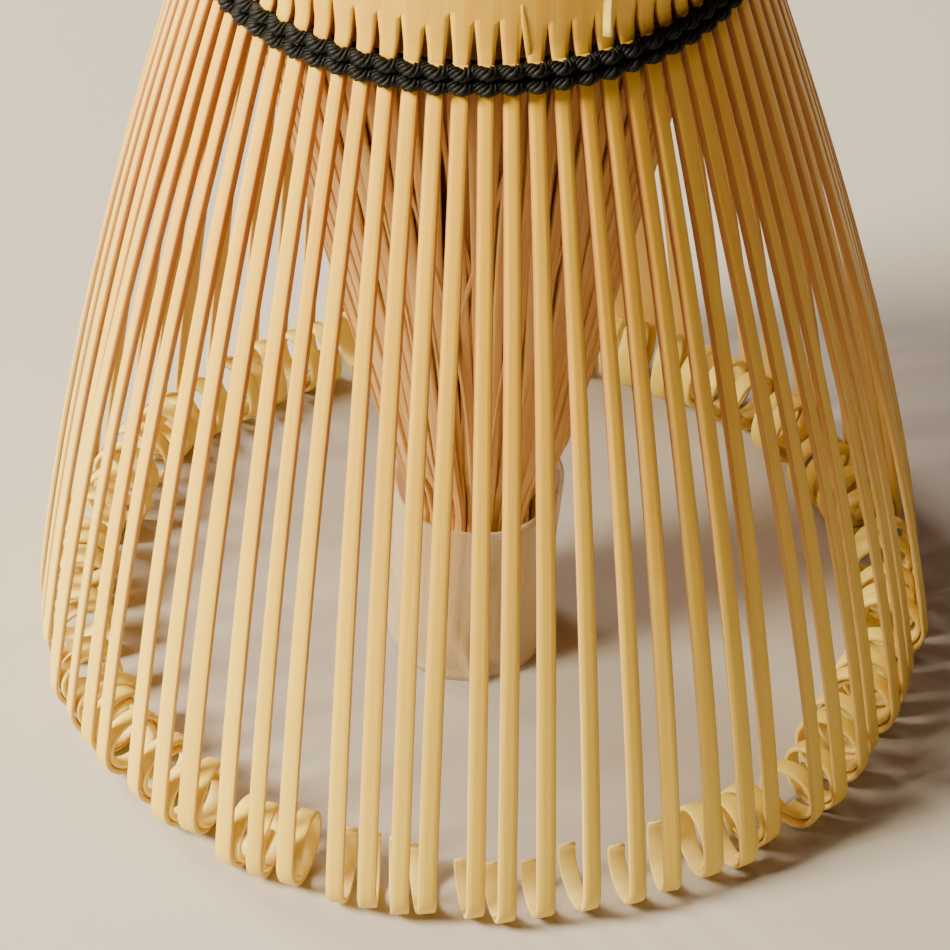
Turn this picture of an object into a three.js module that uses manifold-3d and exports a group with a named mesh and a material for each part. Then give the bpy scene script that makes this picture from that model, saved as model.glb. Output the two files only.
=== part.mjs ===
// Bamboo tea whisk, standing on the curled tips of its tines with the handle up.
//
// The whisk is carved from one length of bamboo culm. Below the handle the wall is split into tines:
// every other one is bent outwards over a black binding thread and curls at its tip, and the ones between
// are gathered to the middle, where a short translucent sleeve holds their ends.
//
// Millimetres, +Z up. The origin is on the surface that the whisk stands on, at the middle of the ring of tips.

import * as THREE from "three";
import { mergeVertices } from "three/addons/utils/BufferGeometryUtils.js";
import Module from "manifold-3d";

const wasm = await Module();
wasm.setup();

// ---------------------------------------------------------------- driving dimensions

const TOTAL_HEIGHT = 110;
const CULM = { radius: 15.24, endRadius: 14.7, boreRadius: 11.4 };
const NODE = { height: 85, rise: 0.7, halfWidth: 1.8, diaphragm: 1.6 }; // ridge round the culm, closed inside
const END_CHAMFER = 0.7;

const SLOT_HEIGHT = 58.6; // the points of the slots between the outer tines
const SPLIT_HEIGHT = 59.4; // the roots of the inner tines
const SOLID_HEIGHT = 63; // where the culm's wall has its full thickness
const TIP_RADIUS = 28; // outside of the tines where they are widest
const CURL_RADIUS = 2.5;

const GROUP_COUNT = 12;
const TINES_PER_GROUP = 6;
const TINE_COUNT = GROUP_COUNT * TINES_PER_GROUP;

const OUTER_TINE = { rootRadius: 15, width: 1, thickness: 0.48, tipThickness: 0.32, bow: 1.3 };
const INNER_TINE = { width: 0.42, thickness: 0.34 };

const THREAD = { low: 53, height: 2.1, thickness: 0.7, innerThickness: 0.5 };
const THREAD_TOP = THREAD.low + THREAD.height;
const SLEEVE = { radius: 5, wall: 0.33, height: 12 };

const GAP = 0.3; // between pieces that touch on the real whisk
const THREAD_GAP = 0.4; // leaves room for the tines to turn between the turns of the thread
const FINE_GAP = 0.08; // where the thread passes between two tines
const CULM_SEGMENTS = TINE_COUNT / 2;

const PITCH = (2 * Math.PI) / TINE_COUNT;
const GROUP_PITCH = (2 * Math.PI) / GROUP_COUNT;

// ---------------------------------------------------------------- materials

const bamboo = (color, roughness) => new THREE.MeshStandardMaterial({ color, roughness, metalness: 0 });
const CULM_MATERIAL = bamboo(0xe9cd8d, 0.42);
const OUTER_TINE_MATERIAL = bamboo(0xeccf8a, 0.45);
const INNER_TINE_MATERIAL = bamboo(0xd9a768, 0.6);
const THREAD_MATERIAL = new THREE.MeshStandardMaterial({ color: 0x17130f, roughness: 0.85, metalness: 0 });
const SLEEVE_MATERIAL = new THREE.MeshStandardMaterial({
  color: 0xdcdad2,
  roughness: 0.5,
  metalness: 0,
  transparent: true,
  opacity: 0.5,
});

// ---------------------------------------------------------------- solids

function solidOf(geometry) {
  const bare = geometry.clone();
  bare.deleteAttribute("normal");
  bare.deleteAttribute("uv");
  const merged = mergeVertices(bare, 1e-4);
  return new wasm.Manifold(
    new wasm.Mesh({
      numProp: 3,
      vertProperties: merged.attributes.position.array,
      triVerts: new Uint32Array(merged.index.array),
    }),
  );
}

function geometryOf(solid) {
  const mesh = solid.getMesh();
  const geometry = new THREE.BufferGeometry();
  geometry.setAttribute("position", new THREE.BufferAttribute(mesh.vertProperties, 3));
  geometry.setIndex(new THREE.BufferAttribute(mesh.triVerts, 1));
  geometry.computeVertexNormals();
  return geometry;
}

const join = (solids) => solids.reduce((whole, next) => whole.add(next));

// A profile of [radius, height] pairs turned about the whisk's axis.
function turned(profile, segments) {
  const points = profile.map(([radius, height]) => new THREE.Vector2(radius, height));
  return new THREE.LatheGeometry(points, segments).rotateX(Math.PI / 2);
}

// A closed outline of [radius, height] pairs as a flat strip of the given width, standing at an azimuth.
function strip(outline, width, azimuth) {
  const shape = new THREE.Shape(outline.map(([radius, height]) => new THREE.Vector2(radius, height)));
  const geometry = new THREE.ExtrudeGeometry(shape, { depth: width, bevelEnabled: false });
  return geometry
    .translate(0, 0, -width / 2)
    .rotateX(Math.PI / 2)
    .rotateZ(azimuth);
}

// The side view of a tine: its centreline, thickened by thickness(share), where share runs from root to tip.
function thickened(centreline, thickness) {
  const last = centreline.length - 1;
  const side = (sign) =>
    centreline.map(([radius, height], i) => {
      const before = centreline[Math.max(i - 1, 0)];
      const after = centreline[Math.min(i + 1, last)];
      const along = new THREE.Vector2(after[0] - before[0], after[1] - before[1]).normalize();
      const offset = (sign * thickness(i / last)) / 2;
      return [radius - along.y * offset, height + along.x * offset];
    });
  return [...side(1), ...side(-1).reverse()];
}

// The azimuths of a group's tines, which lie evenly about azimuth zero.
const groupAzimuths = Array.from({ length: TINES_PER_GROUP }, (_, i) => (i - (TINES_PER_GROUP - 1) / 2) * PITCH);

// A curved bar about the axis, from a group's first tine to its last.
function groupBar(innerRadius, outerRadius, low, high) {
  const reach = groupAzimuths.at(-1);
  const shape = new THREE.Shape();
  shape.absarc(0, 0, outerRadius, -reach, reach, false);
  shape.absarc(0, 0, innerRadius, reach, -reach, true);
  const geometry = new THREE.ExtrudeGeometry(shape, { depth: high - low, bevelEnabled: false, curveSegments: 3 });
  return geometry.translate(0, 0, low);
}

// ---------------------------------------------------------------- outer tines

const SHANK_STEPS = 3;
const CURL_STEPS = 8;

// Centreline of an outer tine below the thread: a bowed shank, then a curl that winds inwards and tightens.
function outerCentreline() {
  const curlStepAngle = Math.PI / 4;
  const tightening = 0.42;
  const midRadius = CURL_RADIUS - OUTER_TINE.tipThickness / 2;
  const curlCentre = new THREE.Vector2(TIP_RADIUS - CURL_RADIUS, CURL_RADIUS);
  const top = new THREE.Vector2(OUTER_TINE.rootRadius, THREAD_TOP);
  const foot = new THREE.Vector2(curlCentre.x + midRadius, curlCentre.y);
  const shank = Array.from({ length: SHANK_STEPS }, (_, i) => {
    const share = i / SHANK_STEPS;
    const point = top.clone().lerp(foot, share);
    return [point.x + OUTER_TINE.bow * 4 * share * (1 - share), point.y];
  });
  const curl = Array.from({ length: CURL_STEPS + 1 }, (_, i) => {
    const radius = midRadius * (1 - tightening * Math.max(0, i / CURL_STEPS - 0.25));
    const angle = -i * curlStepAngle;
    return [curlCentre.x + radius * Math.cos(angle), curlCentre.y + radius * Math.sin(angle)];
  });
  return [...shank, ...curl];
}

// How far the outer tines lean out, and the radius of their middles at a height beside the thread.
function rootLean() {
  const [top, next] = outerCentreline();
  return (next[0] - top[0]) / (top[1] - next[1]);
}

const rootRadiusAt = (height) => OUTER_TINE.rootRadius + rootLean() * (THREAD_TOP - height);

// A group of outer tines, joined by a thin web between the two turns of the thread.
function outerTines() {
  const shankShare = SHANK_STEPS / (SHANK_STEPS + CURL_STEPS);
  const taper = (share) =>
    THREE.MathUtils.lerp(OUTER_TINE.thickness, OUTER_TINE.tipThickness, Math.min(1, share / shankShare));
  const outline = thickened(outerCentreline(), taper);
  const tines = groupAzimuths.map((azimuth) => solidOf(strip(outline, OUTER_TINE.width, azimuth)));
  const halfWeb = OUTER_TINE.thickness / 2 + 0.05;
  const middle = OUTER_TINE.rootRadius;
  const web = groupBar(middle - halfWeb, middle + halfWeb, THREAD_TOP - 0.5, THREAD_TOP + 0.1);
  return geometryOf(join([...tines, solidOf(web)]));
}

// ---------------------------------------------------------------- handle

// Solid culm, open at both ends and closed by the diaphragm at its node. Its wall thins at the lower end into the
// roots of the outer tines, parted by slots that narrow upwards.
function handleCulm() {
  const low = THREAD_TOP + GAP;
  const skirtInner = CULM.radius - OUTER_TINE.thickness;
  const nodeLow = NODE.height - NODE.halfWidth;
  const nodeHigh = NODE.height + NODE.halfWidth;
  const outsideAt = (height) =>
    THREE.MathUtils.mapLinear(height, SOLID_HEIGHT, TOTAL_HEIGHT, CULM.radius, CULM.endRadius);
  const profile = [
    [0, NODE.height - NODE.diaphragm / 2],
    [CULM.boreRadius, NODE.height - NODE.diaphragm / 2],
    [CULM.boreRadius, SOLID_HEIGHT],
    [skirtInner, SPLIT_HEIGHT],
    [skirtInner, low],
    [CULM.radius, low],
    [CULM.radius, SOLID_HEIGHT],
    [outsideAt(nodeLow), nodeLow],
    [outsideAt(NODE.height) + NODE.rise, NODE.height],
    [outsideAt(nodeHigh), nodeHigh],
    [outsideAt(TOTAL_HEIGHT - END_CHAMFER), TOTAL_HEIGHT - END_CHAMFER],
    [CULM.endRadius - END_CHAMFER, TOTAL_HEIGHT],
    [CULM.boreRadius, TOTAL_HEIGHT],
    [CULM.boreRadius, NODE.height + NODE.diaphragm / 2],
    [0, NODE.height + NODE.diaphragm / 2],
  ];
  const slotHalfWidth = (CULM.radius * PITCH - OUTER_TINE.width) / 2;
  const slotOutline = new THREE.Shape([
    new THREE.Vector2(-slotHalfWidth, low - GAP),
    new THREE.Vector2(slotHalfWidth, low - GAP),
    new THREE.Vector2(0, SLOT_HEIGHT),
  ]);
  const slot = new THREE.ExtrudeGeometry(slotOutline, { depth: CULM.radius, bevelEnabled: false })
    .rotateX(Math.PI / 2)
    .rotateZ(Math.PI / 2)
    .translate(CULM.boreRadius, 0, 0);
  const slots = Array.from({ length: TINE_COUNT }, (_, i) => solidOf(slot.clone().rotateZ(i * PITCH)));
  const culm = solidOf(turned(profile, CULM_SEGMENTS).rotateZ(PITCH / 2));
  return geometryOf(culm.subtract(join(slots)));
}

// ---------------------------------------------------------------- inner tines

// The inner tines end in two layers, so that they pack inside the sleeve.
const INNER_LAYER_RADII = [4.2, 3.1];

function innerCentreline(endRadius) {
  const packing = INNER_LAYER_RADII[0] - endRadius;
  return [
    [13.8, SPLIT_HEIGHT - 2 * GAP],
    [13.2, THREAD_TOP - 1],
    [12.1, 40],
    [8.9 - 0.4 * packing, 26.5],
    [endRadius, SLEEVE.height + GAP],
    [endRadius, 1.1],
  ];
}

// A group of thin tines, joined at their roots below the solid culm.
function innerTines() {
  const outlines = INNER_LAYER_RADII.map((radius) =>
    thickened(innerCentreline(radius), () => INNER_TINE.thickness),
  );
  const tines = groupAzimuths.map((azimuth, i) =>
    solidOf(strip(outlines[i % outlines.length], INNER_TINE.width, azimuth)),
  );
  const rootTop = SPLIT_HEIGHT - GAP;
  const root = groupBar(13.4, 14.2, rootTop - 1, rootTop);
  return geometryOf(join([...tines, solidOf(root)]));
}

// ---------------------------------------------------------------- thread

// One turn outside the outer tines and one inside them, both leaning as the tines do and joined through the gap
// between each two groups.
function bindingThread() {
  const halfWall = OUTER_TINE.thickness / 2 + THREAD_GAP;
  const ring = (inner, outer) => {
    const edge = (offset, height) => [rootRadiusAt(height) + offset, height];
    const profile = [
      edge(inner, THREAD.low),
      edge(outer, THREAD.low),
      edge(outer, THREAD_TOP),
      edge(inner, THREAD_TOP),
      edge(inner, THREAD.low),
    ];
    return solidOf(turned(profile, CULM_SEGMENTS));
  };
  const width = rootRadiusAt(THREAD_TOP) * PITCH - OUTER_TINE.width - 2 * FINE_GAP;
  const middle = THREAD.low + THREAD.height / 2;
  const bridge = new THREE.BoxGeometry(2 * halfWall + THREAD.innerThickness, width, THREAD.height / 4);
  bridge.translate(rootRadiusAt(middle), 0, middle);
  const bridges = Array.from({ length: GROUP_COUNT }, (_, i) =>
    solidOf(bridge.clone().rotateZ((i + 0.5) * GROUP_PITCH)),
  );
  const outside = ring(halfWall, halfWall + THREAD.thickness);
  const inside = ring(-halfWall - THREAD.innerThickness, -halfWall);
  return geometryOf(join([outside, inside, ...bridges]));
}

// ---------------------------------------------------------------- sleeve

function tipSleeve() {
  const inner = SLEEVE.radius - SLEEVE.wall;
  const profile = [
    [inner, 0],
    [SLEEVE.radius, 0],
    [SLEEVE.radius, SLEEVE.height],
    [inner, SLEEVE.height],
    [inner, 0],
  ];
  return turned(profile, 24);
}

// ---------------------------------------------------------------- assembly

const whisk = new THREE.Group();

function place(name, geometry, material, azimuth = 0) {
  const mesh = new THREE.Mesh(geometry, material);
  mesh.name = name;
  mesh.rotation.z = azimuth;
  whisk.add(mesh);
}

place("handle_culm", handleCulm(), CULM_MATERIAL);
place("binding_thread", bindingThread(), THREAD_MATERIAL);
place("tip_sleeve", tipSleeve(), SLEEVE_MATERIAL);

const outerTineGroup = outerTines();
const innerTineGroup = innerTines();
for (let i = 0; i < GROUP_COUNT; i++) {
  const number = String(i + 1).padStart(2, "0");
  place(`outer_tines_${number}`, outerTineGroup, OUTER_TINE_MATERIAL, i * GROUP_PITCH);
  place(`inner_tines_${number}`, innerTineGroup, INNER_TINE_MATERIAL, i * GROUP_PITCH);
}

export default whisk;
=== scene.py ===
# Bamboo tea whisk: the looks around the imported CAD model.
#
# Every piece is a mesh made here, in the frame of the CAD model. Lengths are in millimetres and angles in
# radians, except where a name or a comment says otherwise. MM turns millimetres into Blender's metres.
# Azimuths go round the handle from +X, and draws(seed) gives each kind of piece random habits of its own that
# never change.

import math

import bpy
import numpy as np
from mathutils import Matrix, Vector


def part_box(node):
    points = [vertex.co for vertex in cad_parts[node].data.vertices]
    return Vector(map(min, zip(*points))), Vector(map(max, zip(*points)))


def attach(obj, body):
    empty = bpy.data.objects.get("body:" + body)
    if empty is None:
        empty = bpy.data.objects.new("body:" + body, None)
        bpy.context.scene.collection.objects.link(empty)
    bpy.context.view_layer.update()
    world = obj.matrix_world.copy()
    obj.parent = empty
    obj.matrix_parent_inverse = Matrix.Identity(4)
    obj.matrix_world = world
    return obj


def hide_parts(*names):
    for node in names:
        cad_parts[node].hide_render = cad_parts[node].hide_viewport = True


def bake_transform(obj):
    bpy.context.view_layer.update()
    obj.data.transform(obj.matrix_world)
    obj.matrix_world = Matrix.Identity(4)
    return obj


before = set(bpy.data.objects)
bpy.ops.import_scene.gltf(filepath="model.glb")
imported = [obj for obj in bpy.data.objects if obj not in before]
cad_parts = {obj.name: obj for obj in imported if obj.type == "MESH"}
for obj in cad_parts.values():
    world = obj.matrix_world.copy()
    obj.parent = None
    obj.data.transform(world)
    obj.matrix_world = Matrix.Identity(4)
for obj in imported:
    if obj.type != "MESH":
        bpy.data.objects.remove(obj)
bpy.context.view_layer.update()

MM = 0.001
TAU = 2 * math.pi
UP = np.array([0.0, 0.0, 1.0])
FRONT = -math.pi / 2  # the azimuth that faces the camera

# ---------------------------------------------------------------- places, from the CAD model

GROUPS = sorted(name[-2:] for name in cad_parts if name.startswith("outer_tines_"))
TINES_PER_GROUP = 6
TINE_COUNT = len(GROUPS) * TINES_PER_GROUP
PITCH = TAU / TINE_COUNT
GROUP_PITCH = TAU / len(GROUPS)

thread_low, thread_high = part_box("binding_thread")
THREAD_LOW = thread_low.z / MM
THREAD_TOP = thread_high.z / MM
TIP_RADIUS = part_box("outer_tines_01")[1].x / MM
CULM_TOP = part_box("handle_culm")[1].z / MM
SLEEVE_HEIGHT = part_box("tip_sleeve")[1].z / MM

# The outer tines also set the places of the thread and of the slits in the culm.
OUTER_TINE = {
    "root_radius": 14.93,  # of the strip's middle, level with the top of the thread
    "root_slope": 0.33,  # how fast it moves outwards from there downwards
    "root_width": 0.92,
    "tip_width": 1.08,
    "thickness": 0.54,
    "tip_thickness": 0.3,
    "top": THREAD_LOW + 1.3,
}

# ---------------------------------------------------------------- small helpers


def draws(seed):
    return np.random.default_rng(seed)


def smooth(share):
    share = np.clip(share, 0, 1)
    return share * share * (3 - 2 * share)


def radial(azimuth):
    return np.array([math.cos(azimuth), math.sin(azimuth), 0.0])


def tangential(azimuth):
    return np.array([-math.sin(azimuth), math.cos(azimuth), 0.0])


def lengths(vectors):
    return np.linalg.norm(vectors, axis=1)


class Mesh:
    """Collects the points and faces of one piece, with a material index per face. Each point also has a grain
    coordinate (across, along), the tone of its strip and a share of a second colour: how far towards the
    strip's tip it lies on the outer tines, and painted shade near the roots on the inner strands."""

    def __init__(self):
        self.points, self.faces, self.kinds, self.grain, self.tones, self.tips = [], [], [], [], [], []

    def add(self, points, faces, kinds, grain, tone=0.5, tips=None):
        first = len(self.points)
        self.points.extend(points)
        self.grain.extend(grain)
        self.tones.extend([tone] * len(points))
        self.tips.extend([0.0] * len(points) if tips is None else tips)
        self.faces.extend([tuple(first + i for i in face) for face in faces])
        self.kinds.extend(kinds)

    def object(self, name, materials):
        data = bpy.data.meshes.new(name)
        data.from_pydata([tuple(float(c) * MM for c in p) for p in self.points], [], self.faces)
        for material in materials:
            data.materials.append(material)
        data.polygons.foreach_set("material_index", self.kinds)
        data.polygons.foreach_set("use_smooth", [True] * len(self.faces))
        corners = np.zeros(len(data.loops), np.int32)
        data.loops.foreach_get("vertex_index", corners)
        layer = data.uv_layers.new(name="grain")
        layer.data.foreach_set("uv", np.array(self.grain, np.float32)[corners].ravel())
        for label, values in (("tone", self.tones), ("tip", self.tips)):
            attribute = data.attributes.new(label, "FLOAT", "POINT")
            attribute.data.foreach_set("value", np.array(values, np.float32))
        data.update()
        made = bpy.data.objects.new(name, data)
        bpy.context.scene.collection.objects.link(made)
        return made


def band(rows, around):
    """Quads between successive closed rows of points, each with as many points as around says."""
    faces = []
    for i in range(rows - 1):
        a, b = i * around, (i + 1) * around
        for j in range(around):
            k = (j + 1) % around
            faces.append((a + j, a + k, b + k, b + j))
    return faces


# A strip's section: crowned outside, flat inside, with rounded edges. Its first three sides are the skin.
STRIP_SECTION = [
    (-0.44, 0.46), (-0.16, 0.5), (0.16, 0.5), (0.44, 0.46), (0.5, 0.3),
    (0.5, -0.4), (0.44, -0.5), (-0.44, -0.5), (-0.5, -0.4), (-0.5, 0.3),
]
STRIP_SIDES = len(STRIP_SECTION)
STRIP_KINDS = [0] * 3 + [1] * (STRIP_SIDES - 3)
EDGE_GRAIN = 0.7  # how much of the strip's thickness counts as across the grain
GRAIN_SHIFT = 7.3  # across the grain, from one strip to the next


def sweep(mesh, path, sides, size, kinds, tone=0.5, tips=None, offset=0.0, end_kind=0):
    """Sweeps the strip's section along a path. sides are the directions across the strip at each point of the
    path, size(share) gives its width and thickness there, and kinds has one material index per side of the
    section."""
    path = np.asarray(path)
    count = len(path)
    along = np.gradient(path, axis=0)
    along /= lengths(along)[:, None]
    run = np.concatenate([[0], np.cumsum(lengths(np.diff(path, axis=0)))])
    across = sides - (sides * along).sum(1)[:, None] * along
    across /= lengths(across)[:, None]
    out = np.cross(along, across)
    section = np.asarray(STRIP_SECTION, float)
    points, grain, tip_list = [], [], []
    for i in range(count):
        width, thickness = size(i / (count - 1))
        points.extend(
            path[i] + np.outer(section[:, 0] * width, across[i]) + np.outer(section[:, 1] * thickness, out[i])
        )
        grain.extend([(offset + x * width + y * thickness * EDGE_GRAIN, run[i]) for x, y in section])
        tip_list.extend([0.0 if tips is None else float(tips[i])] * STRIP_SIDES)
    faces = band(count, STRIP_SIDES)
    faces.append(tuple(reversed(range(STRIP_SIDES))))
    faces.append(tuple((count - 1) * STRIP_SIDES + j for j in range(STRIP_SIDES)))
    mesh.add(points, faces, kinds * (count - 1) + [end_kind] * 2, grain, tone, tip_list)


# ---------------------------------------------------------------- materials


class Nodes:
    """A material's node tree, built by short calls."""

    def __init__(self, name):
        self.material = bpy.data.materials.new(name)
        self.material.use_nodes = True
        self.tree = self.material.node_tree
        self.shader = self.tree.nodes["Principled BSDF"]

    def fill(self, socket, value):
        if isinstance(value, bpy.types.NodeSocket):
            self.tree.links.new(value, socket)
        else:
            socket.default_value = value

    def add(self, kind, values=(), **settings):
        node = self.tree.nodes.new(kind)
        for key, value in settings.items():
            setattr(node, key, value)
        for key, value in dict(values).items():
            self.fill(node.inputs[key], value)
        return node

    def set(self, **values):
        for key, value in values.items():
            self.fill(self.shader.inputs[key.replace("_", " ")], value)

    def stretched(self, source, scale):
        return self.add("ShaderNodeMapping", {"Vector": source, "Scale": scale}).outputs["Vector"]

    def noise(self, vector, scale, detail=3.0, roughness=0.55):
        values = {"Vector": vector, "Scale": scale, "Detail": detail, "Roughness": roughness}
        return self.add("ShaderNodeTexNoise", values).outputs["Fac"]

    def span(self, value, low, high, new_low=0.0, new_high=1.0):
        values = {"Value": value, "From Min": low, "From Max": high, "To Min": new_low, "To Max": new_high}
        return self.add("ShaderNodeMapRange", values).outputs["Result"]

    def mix(self, share, first, second):
        """A mix of two colours. Several of the node's sockets share a name, so they go by number."""
        node = self.add("ShaderNodeMix", data_type="RGBA")
        for index, value in ((0, share), (6, first), (7, second)):
            self.fill(node.inputs[index], value)
        return node.outputs[2]

    def attribute(self, name):
        return self.add("ShaderNodeAttribute", attribute_name=name).outputs["Fac"]

    def grain(self):
        return self.add("ShaderNodeUVMap", uv_map="grain").outputs["UV"]

    def place(self):
        return self.add("ShaderNodeTexCoord").outputs["Object"]

    def bump(self, height, strength, distance, normal=None):
        values = {"Height": height, "Strength": strength, "Distance": distance * MM}
        if normal is not None:
            values["Normal"] = normal
        return self.add("ShaderNodeBump", values).outputs["Normal"]


def colour(red, green, blue):
    """The linear colour that Blender's sockets take, from shares of sRGB."""
    linear = [c / 12.92 if c <= 0.04045 else ((c + 0.055) / 1.055) ** 2.4 for c in (red, green, blue)]
    return (*linear, 1.0)


# How far the noises for broad streaks, fine fibre lines and patches are stretched: per millimetre of the
# grain coordinate on a strip, and per metre on the culm, whose grain runs up Z.
STRIP_STRETCH = [(1.3, 0.05, 1), (9, 0.12, 1), (0.3, 0.09, 1)]
CULM_STRETCH = [(900, 900, 25), (5200, 5200, 60), (120, 120, 40)]


def bamboo(name, pale, deep, streak, roughness, on_culm=False, tip=None, contrast=1.0, variety=0.45):
    """Bamboo: pale and deep streaks along the grain, deep patches and fine dark fibre lines. Each strip also
    has a tone of its own, by as much as variety says, and may turn to the tip's colour along its length: pale
    tips on the outer tines, and painted shade near the roots on the inner strands."""
    nodes = Nodes(name)
    # A noise hardly leaves 0.3 to 0.7, so the limits below say how much of the surface each mix takes.
    source, stretch = (nodes.place, CULM_STRETCH) if on_culm else (nodes.grain, STRIP_STRETCH)
    broad, fine, patch = (nodes.stretched(source(), scale) for scale in stretch)
    broad_noise = nodes.noise(broad, 1.0, 3)
    fine_noise = nodes.noise(fine, 1.0, 2)
    patch_noise = nodes.noise(patch, 1.0, 2)
    base = nodes.mix(nodes.span(broad_noise, 0.35, 0.68), pale, deep)
    base = nodes.mix(nodes.span(patch_noise, 0.4, 0.75, 0, 0.45 * contrast), base, deep)
    base = nodes.mix(nodes.span(fine_noise, 0.55, 0.75, 0, 0.5 * contrast), base, streak)
    if not on_culm:
        base = nodes.mix(nodes.span(nodes.attribute("tone"), 0.0, 1.0, 0.0, variety), base, deep)
    if tip is not None:
        base = nodes.mix(nodes.span(nodes.attribute("tip"), 0.0, 1.0, 0.0, 0.85), base, tip)
    nodes.set(
        Base_Color=base,
        Specular_IOR_Level=0.36,
        Roughness=nodes.span(fine_noise, 0.3, 0.7, roughness - 0.06, roughness + 0.1),
        Normal=nodes.bump(fine_noise, 0.35, 0.03, nodes.bump(broad_noise, 0.3, 0.05)),
    )
    return nodes.material


def thread_material():
    nodes = Nodes("black_thread")
    fuzz = nodes.noise(nodes.stretched(nodes.grain(), (14, 3, 1)), 1.0, 4)
    base = nodes.mix(nodes.span(fuzz, 0.3, 0.75), colour(0.012, 0.011, 0.011), colour(0.05, 0.046, 0.046))
    nodes.set(
        Base_Color=base,
        Roughness=nodes.span(fuzz, 0.3, 0.7, 0.42, 0.7),
        Normal=nodes.bump(fuzz, 0.7, 0.06),
        Specular_IOR_Level=0.3,
    )
    return nodes.material


def sleeve_material():
    """Frosted film: cloudy, wrinkled, and less see-through where it is seen at a slant."""
    nodes = Nodes("frosted_film")
    cloud = nodes.noise(nodes.stretched(nodes.place(), (220, 220, 90)), 1.0, 3)
    wrinkles = nodes.noise(nodes.stretched(nodes.place(), (420, 420, 170)), 1.0, 2)
    grazing = nodes.add("ShaderNodeLayerWeight", {"Blend": 0.35}).outputs["Facing"]
    opacity = nodes.span(grazing, 0.0, 1.0, 0.2, 0.8)
    patches = nodes.span(cloud, 0.36, 0.62)
    nodes.set(
        Base_Color=nodes.mix(patches, colour(0.95, 0.84, 0.64), colour(0.99, 0.94, 0.82)),
        Roughness=nodes.span(cloud, 0.3, 0.7, 0.35, 0.5),
        Alpha=opacity,
        Normal=nodes.bump(cloud, 0.2, 0.1, nodes.bump(wrinkles, 0.7, 0.5)),
    )
    return nodes.material


def end_grain_material():
    """The sawn end: pale ground tissue dotted with darker fibre bundles."""
    nodes = Nodes("culm_end_grain")
    cells = nodes.add("ShaderNodeTexVoronoi", {"Vector": nodes.place(), "Scale": 1900.0, "Randomness": 0.75})
    dots = nodes.span(cells.outputs["Distance"], 0.12, 0.32, 1.0, 0.0)
    cloud = nodes.noise(nodes.place(), 300.0, 3)
    base = nodes.mix(cloud, colour(0.9, 0.8, 0.58), colour(0.82, 0.69, 0.45))
    base = nodes.mix(dots, base, colour(0.55, 0.38, 0.2))
    nodes.set(Base_Color=base, Roughness=0.72, Normal=nodes.bump(dots, 0.3, 0.08))
    return nodes.material


SKIN = (colour(0.97, 0.79, 0.24), colour(0.93, 0.7, 0.19), colour(0.8, 0.57, 0.15))  # pale, deep and streak
FIBRE = (colour(0.84, 0.61, 0.34), colour(0.72, 0.48, 0.24), colour(0.54, 0.33, 0.14))

skin = bamboo("tine_skin", *SKIN, 0.42, tip=colour(1.0, 0.9, 0.4), contrast=0.6)
fibre = bamboo("tine_fibre", *FIBRE, 0.6, tip=colour(1.0, 0.91, 0.53))
# For the inner strands the tip colour is dark brown: painted shade, put where they lie behind the thread.
inner_fibre = bamboo(
    "inner_fibre", colour(0.96, 0.82, 0.55), colour(0.85, 0.64, 0.36), colour(0.58, 0.36, 0.14), 0.62,
    tip=colour(0.55, 0.3, 0.1), variety=0.8,
)
culm_skin = bamboo("culm_skin", *SKIN, 0.4, on_culm=True, contrast=0.6)
culm_fibre = bamboo(
    "culm_fibre", colour(0.93, 0.84, 0.64), colour(0.87, 0.74, 0.5), colour(0.7, 0.54, 0.33), 0.7,
    on_culm=True,
)
split_fibre = bamboo(
    "split_fibre", colour(0.98, 0.87, 0.48), colour(0.95, 0.81, 0.4), colour(0.85, 0.66, 0.3), 0.6,
    on_culm=True,
)
# The sides of the slits: split fibre, partly its own orange-brown and partly painted shade, darker than the
# culm's inside as deep in a narrow slit.
shaded_slit_fibre = bamboo(
    "shaded_slit_fibre", colour(0.8, 0.53, 0.24), colour(0.66, 0.4, 0.15), colour(0.48, 0.27, 0.1), 0.75,
    on_culm=True,
)
end_grain = end_grain_material()
thread_black = thread_material()
sleeve_film = sleeve_material()

# ---------------------------------------------------------------- outer tines

SHANK_STEPS = 18
SHANK_BEND = 0.4  # share of a tip's way sideways that comes from a bend in the shank, the rest from its slant
CURL = {
    "radius": 2.32,
    "spread": 0.2,
    "foot_angle": 0.14,  # from the plumb, where the shank turns into the curl
    "turns": (math.radians(420), math.radians(720)),
    "even_turn": math.radians(90),  # the curl keeps its radius up to here
    "tightening": 0.17 / math.radians(270),  # share of the radius that it loses per radian from there
    "step": math.radians(12),
}
# Where on the shank the tip's colour begins, and its share at the foot.
TIP_TINT = {"from": 0.2, "at_foot": 0.6}

# The tips stand off their even places: all a little to one side, as the whole ring does, and each by its own
# amount. The tines from 27.5 degrees left of the front to 37.5 degrees right of it are given one by one: how
# far the tip leans to the right, the degrees that its curl turns through, most of them a mere hook, and the
# curl's twist.
TIP_RING_OFFSET = np.array([1.0, 0.0, 0.0])
MEAN_LEAN = -0.8
LEAN_SPREAD = 0.45
FRONT_TINES = [
    (-0.5, 400, 0.2), (-1.0, 380, 0.09), (-0.1, 213, 0.14), (-0.6, 215, 0.21), (-1.05, 228, 0.19),
    (-1.85, 197, 0.18), (-1.4, 188, 0.18), (-2.0, 190, 0.12), (-2.1, 186, 0.04), (-1.8, 188, 0.05),
    (-1.4, 190, -0.03), (-1.55, 202, -0.26), (-1.1, 400, -0.15), (-1.35, 430, -0.12),
]
FIRST_FRONT_PLACE = -5.5  # of the first one, in tines to the right of the front
FIRST_GIVEN = round((FRONT % TAU) / PITCH + FIRST_FRONT_PLACE + (TINES_PER_GROUP - 1) / 2)  # and its number
CLOSEST_TIPS = 1.15  # how far apart two neighbours' tips stay, as a share of a tip's width
SETTLING_PASSES = 40


def is_given(tine):
    return FIRST_GIVEN <= tine < FIRST_GIVEN + len(FRONT_TINES)


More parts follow.
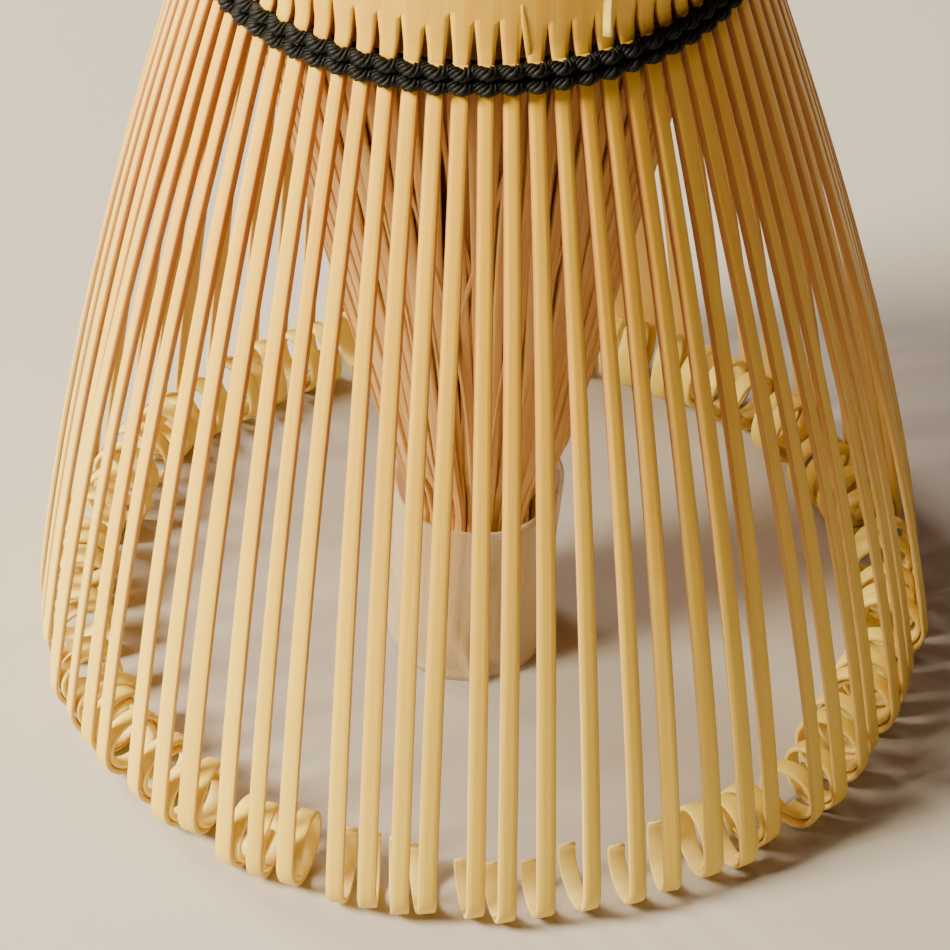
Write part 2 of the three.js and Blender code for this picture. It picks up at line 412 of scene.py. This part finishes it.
def tip_leans(rng):
    """How far each tip leans sideways, round the ring; neighbours never lean into each other."""
    leans = rng.normal(MEAN_LEAN, LEAN_SPREAD, TINE_COUNT)
    leans[FIRST_GIVEN:FIRST_GIVEN + len(FRONT_TINES)] = [lean for lean, _, _ in FRONT_TINES]
    most = TIP_RADIUS * PITCH - CLOSEST_TIPS * OUTER_TINE["tip_width"]
    for _ in range(SETTLING_PASSES):
        for i in range(TINE_COUNT):
            if not is_given(i):
                before, after = leans[i - 1], leans[(i + 1) % TINE_COUNT]
                leans[i] = min(max(leans[i], before - most), after + most)
    return leans


def outer_tine_habit(rng, tine, lean):
    """The habits of one tine: how its tip stands off its even place, and how it curls."""
    habit = {
        "lean": lean,
        "twist": rng.normal(0.0, 0.1),
        "radius": CURL["radius"] + rng.uniform(-1, 1) * CURL["spread"],
        "turn": rng.uniform(*CURL["turns"]),
        "drift": rng.normal(0.25, 0.17),
        "reach": rng.normal(0, 0.18),
        "lift": abs(rng.normal(0, 0.12)),
        "width": rng.normal(1.0, 0.05),
        "tone": float(np.clip(rng.normal(0.45, 0.3), 0, 1)),
    }
    if is_given(tine):
        _, turn, twist = FRONT_TINES[tine - FIRST_GIVEN]
        habit.update(turn=math.radians(turn), twist=twist)
    return habit


def shank_points(azimuth, twist, foot_radius, foot_height, sway):
    """Points down the shank, the direction across it and the share of the tip's colour at each. The radius
    leaves the root at its slope and comes to the foot at the foot's angle."""
    top = OUTER_TINE["top"]
    drop = top - foot_height
    start_radius = OUTER_TINE["root_radius"] - (top - THREAD_TOP) * OUTER_TINE["root_slope"]
    path, across, tips = [], [], []
    for i in range(SHANK_STEPS):
        share = i / SHANK_STEPS
        settle, root_pull = smooth(share), share * (1 - share) ** 2
        foot_pull = -share * share * (1 - share)
        r = start_radius + (foot_radius - start_radius) * settle
        r += drop * (OUTER_TINE["root_slope"] * root_pull + math.tan(CURL["foot_angle"]) * foot_pull)
        swayed = (1 - SHANK_BEND) * share + SHANK_BEND * settle
        path.append(radial(azimuth) * r + sway * swayed + UP * (top - drop * share))
        across.append(tangential(azimuth + twist * smooth(share * 1.1 - 0.1)))  # twisted more and more
        tips.append(TIP_TINT["at_foot"] * smooth((share - TIP_TINT["from"]) / (1 - TIP_TINT["from"])))
    return path, across, tips


def curl_points(azimuth, habit, middle_radius, centre):
    """Points round the curl, inwards from its foot, with the same as shank_points at each."""
    out, side = radial(azimuth), tangential(azimuth)
    steps = int(habit["turn"] / CURL["step"])
    path, across, tips = [], [], []
    for i in range(steps + 1):
        share = i / steps
        turned = habit["turn"] * share
        angle = CURL["foot_angle"] - turned
        r = middle_radius * (1 - CURL["tightening"] * max(0.0, turned - CURL["even_turn"]))
        point = centre + out * r * math.cos(angle) + UP * r * math.sin(angle)
        path.append(point + side * habit["drift"] * turned / TAU)
        across.append(side)
        tips.append(min(1.0, TIP_TINT["at_foot"] + share))
    return path, across, tips


def outer_tine_path(azimuth, habit):
    half = OUTER_TINE["tip_thickness"] / 2
    middle_radius = habit["radius"] - half
    rise, reach = math.sin(CURL["foot_angle"]), math.cos(CURL["foot_angle"])
    foot_height = middle_radius + middle_radius * rise + half + habit["lift"]
    foot_radius = TIP_RADIUS + habit["reach"] - half - middle_radius * (1 - reach)
    sway = tangential(azimuth) * habit["lean"] + TIP_RING_OFFSET
    curl_azimuth = azimuth + habit["twist"]
    centre = radial(azimuth) * foot_radius + sway + UP * foot_height
    centre -= middle_radius * (radial(curl_azimuth) * reach + UP * rise)
    shank = shank_points(azimuth, habit["twist"], foot_radius, foot_height, sway)
    curl = curl_points(curl_azimuth, habit, middle_radius, centre)
    path, across, tips = (on_shank + on_curl for on_shank, on_curl in zip(shank, curl))
    return np.array(path), np.array(across), tips


def outer_tine_size(habit, shank_share):
    """Width and thickness along the strip: they change down the shank and stay the same round the curl."""

    def size(share):
        shank = smooth(share / shank_share)
        width = OUTER_TINE["root_width"] * (1 - shank) + OUTER_TINE["tip_width"] * shank
        thickness = OUTER_TINE["thickness"] * (1 - shank) + OUTER_TINE["tip_thickness"] * shank
        return width * habit["width"], thickness

    return size


def build_outer_tines():
    rng = draws(11)
    leans = tip_leans(rng)
    for g, group in enumerate(GROUPS):
        mesh = Mesh()
        for i in range(TINES_PER_GROUP):
            azimuth = g * GROUP_PITCH + (i - (TINES_PER_GROUP - 1) / 2) * PITCH
            tine = g * TINES_PER_GROUP + i
            habit = outer_tine_habit(rng, tine, leans[tine])
            path, across, tips = outer_tine_path(azimuth, habit)
            size = outer_tine_size(habit, SHANK_STEPS / len(path))
            offset = tine * GRAIN_SHIFT
            sweep(mesh, path, across, size, STRIP_KINDS, habit["tone"], tips, offset, end_kind=1)
        piece = mesh.object(f"tines_{group}", [skin, fibre])
        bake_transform(piece)
        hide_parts(f"outer_tines_{group}")


build_outer_tines()

# ---------------------------------------------------------------- inner tines

INNER_TINE = {
    "thickness": 0.32,
    "root_radius": 13.85,
    "root_height": THREAD_TOP + 3.4,
    "root_falls": np.array([0, 1.2, 2.4, 3.0, 3.6]),  # of the first points below the root
    "step": 0.7,  # how much further out they stand above the thread, and over what height they step in
    "step_height": 1.5,
    "ends": (0.15, 0.9),  # heights
    "steps": 24,
    "wave": 0.22,  # how much they wander sideways
    "taper": 0.25,
    "thinning": 2.2,  # strips narrower than 1 / 2.2 are also thinner
    "painted_root_shade": 0.7,  # painted shade on the strands where they lie behind the thread; it fades out over the first fifth below the thread
}
# Two rows of inner tines, the second behind the gaps of the first. shift is in tines, and swing is the spread
# of the angle by which a strand moves round on its way down.
ROWS = [
    {"width": 0.76, "shift": 0.0, "inset": 0.0, "swing": 0.045},
    {"width": 0.78, "shift": 0.5, "inset": 0.5, "swing": 0.04},
]
ROW_WIDTHS = (0.8, 1.2)
ROW_DEPTHS = (0.0, 0.5)
# Thin loose strands, split off the inner tines of a group.
STRAYS = {"count": 7, "widths": (0.18, 0.36), "depths": (-0.15, 1.0), "swing": 0.25}
# The gathered strands: a cone above the sleeve. They settle into it from flare above its rim, over settling.
BUNDLE = {"rim_radius": 4.75, "slope": 0.226, "end_radius": 4.3, "flare": 5.0, "settling": 8.0}

SLEEVE_FOOT_PLACE = np.array([0.05, -1.3, 0.0])  # the sleeve leans a little
SLEEVE_RIM_PLACE = np.array([0.6, -0.4, 0.0])


def cone_radius(height):
    """Outside of the inner tines: a cone from the thread, where they step in, to the sleeve's rim."""
    cone = BUNDLE["rim_radius"] + BUNDLE["slope"] * max(0.0, height - SLEEVE_HEIGHT)
    step = INNER_TINE["step"] * smooth((height - THREAD_TOP + 0.3) / INNER_TINE["step_height"])
    return min(cone, INNER_TINE["root_radius"]) + step


def bundle_place(height):
    """Middle of the gathered strands: it follows the leaning sleeve, and is centred again at the thread."""
    share = height / SLEEVE_HEIGHT
    if share < 1:
        return SLEEVE_FOOT_PLACE * (1 - share) + SLEEVE_RIM_PLACE * share
    return SLEEVE_RIM_PLACE * (1 - smooth((height - SLEEVE_HEIGHT) / (THREAD_LOW - SLEEVE_HEIGHT)))


def inner_strand(mesh, rng, azimuth, width, swing, depth, inset=0.0):
    """One strand from its root inside the culm down to its end in the sleeve. inset moves all of it inwards,
    and depth moves it inwards as the bundle gathers."""
    end_radius = BUNDLE["end_radius"] * math.sqrt(rng.uniform(0.2, 1.0))  # spread evenly outside the middle
    wave, phase = rng.normal(0, INNER_TINE["wave"]), rng.uniform(0, TAU)
    heights = np.concatenate([
        INNER_TINE["root_height"] - INNER_TINE["root_falls"],
        np.linspace(THREAD_LOW - 0.5, rng.uniform(*INNER_TINE["ends"]), INNER_TINE["steps"]),
    ])
    fall = heights[0] - heights[-1]
    path, across, painted_root_shades = [], [], []
    for height in heights:
        share = (heights[0] - height) / fall
        gather = smooth((THREAD_LOW - height) / (THREAD_LOW - SLEEVE_HEIGHT))
        inside = smooth((SLEEVE_HEIGHT + BUNDLE["flare"] - height) / BUNDLE["settling"])
        r = cone_radius(height) - inset - depth * gather
        r = r * (1 - inside) + min(end_radius, r) * inside
        angle = azimuth + swing * gather
        point = radial(angle) * r + UP * height + bundle_place(height)
        wander = wave * math.sin(math.pi * share) * math.sin(TAU * share + phase)
        path.append(point + tangential(angle) * wander)
        across.append(tangential(angle))
        # Painted shade: the strands are darker just below the top of the thread, where they lie behind it and
        # the outer tines.
        behind_thread_shade = smooth(1.1 - 5 * share) * smooth((THREAD_TOP - height) / INNER_TINE["step_height"])
        painted_root_shades.append(INNER_TINE["painted_root_shade"] * behind_thread_shade)

    def size(share):
        thickness = INNER_TINE["thickness"] * min(1.0, width * INNER_TINE["thinning"])
        return width * (1 - INNER_TINE["taper"] * share), thickness

    tone = float(rng.uniform(0, 1))
    sweep(mesh, path, np.array(across), size, [0] * STRIP_SIDES, tone, painted_root_shades, offset=rng.uniform(0, 500))


def build_inner_tines():
    rng = draws(23)
    for g, group in enumerate(GROUPS):
        mesh = Mesh()
        for i in range(TINES_PER_GROUP):
            azimuth = g * GROUP_PITCH + (i - TINES_PER_GROUP / 2) * PITCH
            for row in ROWS:
                width = row["width"] * rng.uniform(*ROW_WIDTHS)
                swing, depth = rng.normal(0, row["swing"]), rng.uniform(*ROW_DEPTHS)
                inner_strand(mesh, rng, azimuth + row["shift"] * PITCH, width, swing, depth, row["inset"])
        for _ in range(STRAYS["count"]):
            azimuth = g * GROUP_PITCH + rng.uniform(-0.5, 0.5) * GROUP_PITCH
            width = rng.uniform(*STRAYS["widths"])
            swing, depth = rng.normal(0, STRAYS["swing"]), rng.uniform(*STRAYS["depths"])
            inner_strand(mesh, rng, azimuth, width, swing, depth)
        piece = mesh.object(f"gathered_tines_{group}", [inner_fibre])
        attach(piece, "whisk")
        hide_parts(f"inner_tines_{group}")


build_inner_tines()

# ---------------------------------------------------------------- binding thread

THREAD = {
    "radius": 0.41,
    "plies": 5,
    "ply_radius": 0.43,  # as a share of the thread's radius
    "ply_offset": 0.6,  # from the thread's middle, as the same share
    "ply_corners": 8,
    "stand_off": 0.85,  # of an outer round's middle from the tines' faces, as the same share
    "inner_stand_off": 0.9,
    "wobble": 0.04,  # of the height at which it crosses a tine
    "dip": 0.36,  # how far an outer round is pulled in at the gaps between tines
    "rounds": (0.27, 1.04),  # heights above the foot of the binding
    "inner_rounds": (0.0, 0.76),
    "steps_per_tine": 12,
    "inner_steps_per_tine": 5,
}


def yarn(mesh, centre_line, start_angle=0.0):
    """A twisted yarn about a closed centre line. Its plies make about one turn for each tine."""
    path = np.asarray(centre_line)
    count, corners = len(path), THREAD["ply_corners"]
    along = np.roll(path, -1, 0) - np.roll(path, 1, 0)
    along /= lengths(along)[:, None]
    side = np.cross(along, UP)
    side /= lengths(side)[:, None]
    up = np.cross(side, along)
    steps = lengths(np.roll(path, -1, 0) - path)
    run = np.concatenate([[0], np.cumsum(steps)[:-1]])
    total = steps.sum()
    turns = round(total / (OUTER_TINE["root_radius"] * PITCH))
    ply_radius = THREAD["radius"] * THREAD["ply_radius"]
    offset = THREAD["radius"] * THREAD["ply_offset"]
    for ply in range(THREAD["plies"]):
        angle = TAU * (turns * run / total + ply / THREAD["plies"]) + start_angle
        middle = path + offset * (np.cos(angle)[:, None] * side + np.sin(angle)[:, None] * up)
        points, grain = [], []
        for i in range(count):
            for j in range(corners):
                a = TAU * j / corners
                points.append(middle[i] + ply_radius * (math.cos(a) * side[i] + math.sin(a) * up[i]))
                # The fibres slant along each ply, and no two plies look the same.
                grain.append((ply_radius * a + ply * 3 + run[i] * 0.8, run[i]))
        faces = []
        for i in range(count):
            a, b = i * corners, ((i + 1) % count) * corners
            for j in range(corners):
                k = (j + 1) % corners
                faces.append((a + j, b + j, b + k, a + k))
        mesh.add(points, faces, [0] * len(faces), grain)


def thread_seat(z):
    """Radius of the outer tines' middles beside the thread."""
    return OUTER_TINE["root_radius"] + (THREAD_TOP - z) * OUTER_TINE["root_slope"]


def build_thread():
    """Two rounds outside the outer tines, pulled in at each gap, and two behind them that fill the gaps."""
    mesh = Mesh()
    rng = draws(31)
    for index, height in enumerate(THREAD["rounds"]):
        z = THREAD_LOW + height
        face = thread_seat(z) + OUTER_TINE["thickness"] / 2
        wobble = rng.normal(0, THREAD["wobble"], TINE_COUNT)
        line = []
        for i in range(TINE_COUNT * THREAD["steps_per_tine"]):
            place = i / THREAD["steps_per_tine"]
            over = 0.5 + 0.5 * math.cos(TAU * (place - 0.5))
            r = face + THREAD["radius"] * THREAD["stand_off"] - THREAD["dip"] * (1 - over)
            line.append(radial(PITCH * place) * r + UP * (z + wobble[int(place)] * over))
        yarn(mesh, line, start_angle=1.3 * index)  # so that the two rounds' plies are not in step
    for height in THREAD["inner_rounds"]:
        z = THREAD_LOW + height
        r = thread_seat(z) - OUTER_TINE["thickness"] / 2 - THREAD["radius"] * THREAD["inner_stand_off"]
        steps = THREAD["inner_steps_per_tine"]
        yarn(mesh, [radial(PITCH * i / steps) * r + UP * z for i in range(TINE_COUNT * steps)])
    piece = mesh.object("black_thread", [thread_black])
    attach(piece, "whisk")
    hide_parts("binding_thread")


build_thread()

# ---------------------------------------------------------------- sleeve

SLEEVE = {
    "foot_radius": 4.85,
    "body_radius": 5.05,
    "rim_radius": 5.35,
    "wall": 0.28,
    "foot_taper": 0.08,  # height of the tapering foot and of the flaring part, as shares of the sleeve's
    "flare": 5 / 7,
    "lift": 0.03,  # off the floor
    "uneven": 0.1,  # how far the cut rim is out of level, and out of round
    "oval": 0.09,
    "waves": 0.06,
    "around": 192,
    "rows": 26,
}
# The crease at the sleeve's foot: a ridge with a hollow beside it, both slanting and fading upwards. Each has
# a size, a place beside the ridge and a half width.
CREASE_PLACE = 0.16  # to the right of the front
CREASE_SLANT = 0.9
CREASE_HEIGHT = 0.45  # as a share of the sleeve's
CREASE_FOLDS = [(0.5, 0.0, 0.1), (-0.1, 0.22, 0.13)]


def sleeve_point(share, azimuth, inset, phases):
    """A point of the film: a tube that tapers in at its creased foot and flares to its cut rim."""
    foot = SLEEVE["body_radius"] - SLEEVE["foot_radius"]
    r = SLEEVE["body_radius"] - foot * (1 - smooth(share / SLEEVE["foot_taper"])) - inset
    r += (SLEEVE["rim_radius"] - SLEEVE["body_radius"]) * smooth(1 - (1 - share) / SLEEVE["flare"])
    beside = (azimuth - FRONT - CREASE_PLACE + CREASE_SLANT * share + math.pi) % TAU - math.pi
    for size, place, width in CREASE_FOLDS:
        r += smooth(1 - share / CREASE_HEIGHT) * size * math.exp(-((beside - place) / width) ** 2)
    r += SLEEVE["oval"] * math.sin(2 * azimuth + phases[0]) * share
    r += SLEEVE["waves"] * math.sin(5 * azimuth + phases[1] + 2 * share)
    height = SLEEVE_HEIGHT - SLEEVE["uneven"] * (1 - math.sin(2 * azimuth + phases[2]))
    z = height * share + SLEEVE["lift"]
    return radial(azimuth) * r + UP * z + SLEEVE_FOOT_PLACE * (1 - share) + SLEEVE_RIM_PLACE * share


def build_sleeve():
    mesh = Mesh()
    around, rows = SLEEVE["around"], SLEEVE["rows"]
    phases = draws(41).uniform(0, TAU, 3)
    shares = [i / rows for i in range(rows + 1)]
    walls = [(share, 0.0) for share in shares] + [(share, SLEEVE["wall"]) for share in reversed(shares)]
    points, grain = [], []
    for share, inset in walls:
        for j in range(around):
            azimuth = TAU * j / around
            points.append(sleeve_point(share, azimuth, inset, phases))
            grain.append((SLEEVE["body_radius"] * azimuth, SLEEVE_HEIGHT * share))
    # The outer wall goes up and the inner one comes down again, and the last row joins the first.
    faces = [tuple(corner % len(points) for corner in face) for face in band(len(walls) + 1, around)]
    mesh.add(points, faces, [0] * len(faces), grain)
    piece = mesh.object("frosted_sleeve", [sleeve_film])
    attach(piece, "sleeve")
    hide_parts("tip_sleeve")


build_sleeve()

# ---------------------------------------------------------------- handle

CULM_FOOT = THREAD_LOW + 1.0
CULM_RADIUS = 15.24
CULM_END_RADIUS = 14.7
BORE_RADIUS = 11.4
TAPER_FROM = 63
SPLIT_WALL = 0.46  # thickness of the wall where it is split into tines
LEAST_WALL = 0.4
THICKENING = (4, 5)  # how far above the thread the wall begins to thicken, and over what height
RIM_HEIGHT = 0.9  # of the rounded edge at the sawn end
RIM_DEPTH = 0.7
TINE_CROWN = {"height": 0.04, "from": 56, "fade": 3}  # the split wall's face is crowned on each tine

NODE_HEIGHT = 85
# The swellings and the groove round the node: place above it, how far they stand out, and half height.
NODE_RINGS = [(-0.5, 0.75, 0.9), (0.6, -0.28, 0.35), (1.8, 0.25, 1.0)]

# Heights of the rows of points: close together through the slits, round the node and at the rounded edge.
SLIT_ROWS = np.linspace(CULM_FOOT, THREAD_TOP + 4.4, 13)
NODE_ROWS = [NODE_HEIGHT + above for above in (-6, -3, -1.6, -0.8, -0.3, 0.0, 0.25, 0.6, 1.4, 2.6)]
RIM_ROWS = [CULM_TOP - RIM_HEIGHT, CULM_TOP - 0.35, CULM_TOP]
CULM_ROWS = [*SLIT_ROWS, 61, 63, 66, 70, 75, *NODE_ROWS, 90, 95, 100, 105, *RIM_ROWS]
CULM_COLUMNS = 5  # points across each tine's share of the culm

SLIT_WIDTH = CULM_RADIUS * PITCH - OUTER_TINE["root_width"] + 0.1  # a little of each tine's edges is cut away
SLIT_TOPS = THREAD_TOP + draws(53).uniform(0.8, 2.5, TINE_COUNT)

CULM_MATERIALS = [culm_skin, culm_fibre, end_grain, shaded_slit_fibre, split_fibre]
ON_SKIN, ON_FIBRE, ON_END, ON_SLIT, ON_SPLIT = range(len(CULM_MATERIALS))

# Slivers of skin split off beside the slits. place is in tines right of the front, and top and foot are
# heights above the thread. The foot leans sideways and stands off the culm, and the sliver's face turns.
SPLINTERS = [
    {
        "place": 5.75, "top": 5.6, "foot": 0.3, "width": 0.5,
        "lean": -0.5, "off": 0.6, "turn": -1.0, "kind": ON_SPLIT,
    },
    {
        "place": 1.9, "top": 2.9, "foot": -0.9, "width": 0.3,
        "lean": 0.5, "off": 0.05, "turn": 0.0, "kind": ON_SKIN,
    },
]
SPLINTER_STEPS = 8
SPLINTER_THICKNESS = 0.2
SPLINTER_SINK = 0.12  # of its top into the skin

# The thin wall across the culm at its node: domed, rough, and thicker where it meets the culm.
DIAPHRAGM = {
    "radius": BORE_RADIUS + 0.2, "middle": NODE_HEIGHT - 0.4, "half": 0.6, "dome": 0.9, "roughness": 0.1,
    "fillet": 0.9, "fillet_from": 0.8, "around": 72, "rings": 10,
}


def culm_outside(z, azimuth):
    share = max(0.0, (z - TAPER_FROM) / (CULM_TOP - TAPER_FROM))
    r = CULM_RADIUS + (CULM_END_RADIUS - CULM_RADIUS) * share
    for above, size, width in NODE_RINGS:
        r += size * math.exp(-((z - NODE_HEIGHT - above) / width) ** 2)
    r += max(0.0, THREAD_TOP - z) * OUTER_TINE["root_slope"]
    r += 0.06 * math.sin(2 * azimuth + 1) + 0.03 * math.sin(7 * azimuth + 2 + z * 0.02)  # not quite round
    return r - RIM_DEPTH * smooth((z - CULM_TOP + RIM_HEIGHT) / RIM_HEIGHT) ** 2


def culm_inside(z):
    """The wall is thin where it is split and thickens to the bore above the slits."""
    if z < THREAD_TOP:
        return CULM_RADIUS - SPLIT_WALL + (THREAD_TOP - z) * OUTER_TINE["root_slope"]
    above, over = THICKENING
    growth = (CULM_RADIUS - BORE_RADIUS - SPLIT_WALL) * smooth((z - THREAD_TOP - above) / over)
    return CULM_RADIUS - SPLIT_WALL - growth


def slit_half_angle(slit, z):
    """Half of a slit between two tines. It narrows almost evenly from the culm's foot to a sharp top."""
    top = SLIT_TOPS[slit % TINE_COUNT]
    return SLIT_WIDTH / 2 / CULM_RADIUS * max(0.0, min(1.0, (top - z) / (top - CULM_FOOT))) ** 0.95


def culm_points():
    """Points of the outside (layer 0) and of the inside (layer 1), their grain and their numbers."""
    points, grain, index = [], [], {}
    for row, z in enumerate(CULM_ROWS):
        crown = TINE_CROWN["height"] * (1 - smooth((z - TINE_CROWN["from"]) / TINE_CROWN["fade"]))
        for tine in range(TINE_COUNT):
            left = tine * PITCH + slit_half_angle(tine, z)
            right = (tine + 1) * PITCH - slit_half_angle(tine + 1, z)
            for column in range(CULM_COLUMNS):
                share = column / (CULM_COLUMNS - 1)
                a = left + (right - left) * share
                outside = culm_outside(z, a)
                inside = min(culm_inside(z), outside - LEAST_WALL)
                for layer, r in enumerate((outside - crown * (2 * share - 1) ** 2, inside)):
                    index[row, tine, column, layer] = len(points)
                    points.append(radial(a) * r + UP * z)
                    grain.append((a * CULM_RADIUS, z))
    return points, grain, index


def culm_faces(index):
    """The skin and the inside, the sides of the slits, and the rings at the foot and at the sawn end."""
    faces, kinds = [], []
    last = len(CULM_ROWS) - 1

    def add(kind, corners, reverse):
        numbers = [index[corner] for corner in corners]
        faces.append(tuple(reversed(numbers) if reverse else numbers))
        kinds.append(kind)

    for row in range(last):
        for tine in range(TINE_COUNT):
            for column in range(CULM_COLUMNS - 1):
                for layer, kind in enumerate((ON_SKIN, ON_FIBRE)):
                    low = [(row, tine, column, layer), (row, tine, column + 1, layer)]
                    high = [(row + 1, tine, column + 1, layer), (row + 1, tine, column, layer)]
                    add(kind, low + high, layer == 1)
            for column, slit in ((0, tine), (CULM_COLUMNS - 1, tine + 1)):
                if slit_half_angle(slit, CULM_ROWS[row]) > 0:
                    outer = [(row, tine, column, 0), (row + 1, tine, column, 0)]
                    inner = [(row + 1, tine, column, 1), (row, tine, column, 1)]
                    add(ON_SLIT, outer + inner, column > 0)
    for tine in range(TINE_COUNT):
        for column in range(CULM_COLUMNS - 1):
            for row, kind in ((0, ON_FIBRE), (last, ON_END)):
                left = [(row, tine, column, 0), (row, tine, column, 1)]
                right = [(row, tine, column + 1, 1), (row, tine, column + 1, 0)]
                add(kind, left + right, row > 0)
    return faces, kinds


def add_diaphragm(mesh):
    around, rings = DIAPHRAGM["around"], DIAPHRAGM["rings"]
    for sign in (1, -1):
        points, grain = [], []
        for i in range(rings + 1):
            share = i / rings
            fillet = max(0, (share - DIAPHRAGM["fillet_from"]) / (1 - DIAPHRAGM["fillet_from"])) ** 2
            surface = DIAPHRAGM["middle"] - DIAPHRAGM["dome"] * (1 - share ** 2)
            surface += sign * (DIAPHRAGM["half"] + DIAPHRAGM["fillet"] * fillet)
            for j in range(around):
                a = TAU * j / around
                place = radial(a) * DIAPHRAGM["radius"] * share
                points.append(place + UP * (surface + DIAPHRAGM["roughness"] * math.sin(3 * a + i)))
                grain.append((place[0], place[1]))
        faces = band(rings + 1, around)
        if sign > 0:
            faces = [tuple(reversed(face)) for face in faces]
        mesh.add(points, faces, [ON_FIBRE] * len(faces), grain)


def add_splinter(mesh, place, top, foot, width, lean, off, turn, kind):
    azimuth = FRONT + place * PITCH
    path = []
    for i in range(SPLINTER_STEPS + 1):
        share = i / SPLINTER_STEPS
        r = CULM_RADIUS - SPLINTER_SINK + off * share * share
        z = THREAD_TOP + top + (foot - top) * share
        path.append(radial(azimuth) * r + tangential(azimuth) * lean * share + UP * z)
    across = np.tile(tangential(azimuth + turn), (len(path), 1))

    def size(share):
        return width * (0.3 + 0.7 * smooth(3 * share)), SPLINTER_THICKNESS

    sweep(mesh, path, across, size, [kind] * STRIP_SIDES)


def build_culm():
    mesh = Mesh()
    points, grain, index = culm_points()
    mesh.add(points, *culm_faces(index), grain)
    add_diaphragm(mesh)
    for splinter in SPLINTERS:
        add_splinter(mesh, **splinter)
    piece = mesh.object("culm", CULM_MATERIALS)
    weld = piece.modifiers.new("weld", "WELD")
    weld.merge_threshold = 0.001 * MM
    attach(piece, "whisk")
    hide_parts("handle_culm")


build_culm()

# ---------------------------------------------------------------- stage, light and camera

FLOOR = {"half_size_m": 3.0, "below_tips": 0.02, "colour": colour(0.74, 0.71, 0.69), "roughness": 0.8}

# Places and sizes in metres, powers in watts, and linear tints. All lights face the frame's origin.
LIGHTS = {
    "key": {"place": (-0.555, -0.2, 0.5), "size": 0.25, "power": 19.0, "tint": (1.0, 0.91, 0.65)},
    "fill": {"place": (0.5, -0.6, 0.5), "size": 0.8, "power": 0.16, "tint": (1.0, 0.52, 0.4)},
    "back": {"place": (-0.48, 0.42, 0.36), "size": 0.25, "power": 5.5, "tint": (1.0, 0.93, 0.78)},
    "top": {"place": (0.0, 0.05, 0.8), "size": 0.3, "power": 0.35, "tint": (1.0, 0.84, 0.6)},
}
ROOM = {"tint": (1.0, 0.6, 0.5, 1.0), "strength": 0.07}

CAMERA = {
    "distance": 293.0,
    "elevation": math.radians(42.9),
    "roll": math.radians(0.9),
    "lens": 174.0,
    "sensor": 36.0,
    "aim": (0.43, 0.0, 11.8),
    "clip_start": 10,
}


def build_stage():
    half = FLOOR["half_size_m"]
    data = bpy.data.meshes.new("floor")
    corners = [(-half, -half, 0), (half, -half, 0), (half, half, 0), (-half, half, 0)]
    data.from_pydata(corners, [], [(0, 1, 2, 3)])
    floor = bpy.data.objects.new("floor", data)
    floor.location.z = -FLOOR["below_tips"] * MM
    bpy.context.scene.collection.objects.link(floor)
    nodes = Nodes("pale_floor")
    nodes.set(Base_Color=FLOOR["colour"], Roughness=FLOOR["roughness"])
    data.materials.append(nodes.material)


def area_light(name, place, size, power, tint):
    data = bpy.data.lights.new(name, "AREA")
    data.shape = "DISK"
    data.size = size
    data.energy = power
    data.color = tint
    lamp = bpy.data.objects.new(name, data)
    lamp.location = place
    lamp.rotation_euler = (-Vector(place)).to_track_quat("-Z", "Y").to_euler()
    bpy.context.scene.collection.objects.link(lamp)


def build_light():
    for name, light in LIGHTS.items():
        area_light(name, **light)
    world = bpy.data.worlds.new("soft_room")
    world.use_nodes = True
    background = world.node_tree.nodes["Background"]
    background.inputs["Color"].default_value = ROOM["tint"]
    background.inputs["Strength"].default_value = ROOM["strength"]
    bpy.context.scene.world = world


def build_camera():
    data = bpy.data.cameras.new("camera")
    data.lens = CAMERA["lens"]
    data.sensor_width = CAMERA["sensor"]
    data.clip_start = CAMERA["clip_start"] * MM
    data.dof.use_dof = False
    camera = bpy.data.objects.new("camera", data)
    elevation = CAMERA["elevation"]
    place = CAMERA["distance"] * MM * Vector((0, -math.cos(elevation), math.sin(elevation)))
    camera.location = place
    aim = Vector(CAMERA["aim"]) * MM
    facing = (aim - place).to_track_quat("-Z", "Y").to_matrix().to_4x4()
    camera.rotation_euler = (facing @ Matrix.Rotation(CAMERA["roll"], 4, "Z")).to_euler()
    bpy.context.scene.collection.objects.link(camera)
    bpy.context.scene.camera = camera


build_stage()
build_light()
build_camera()
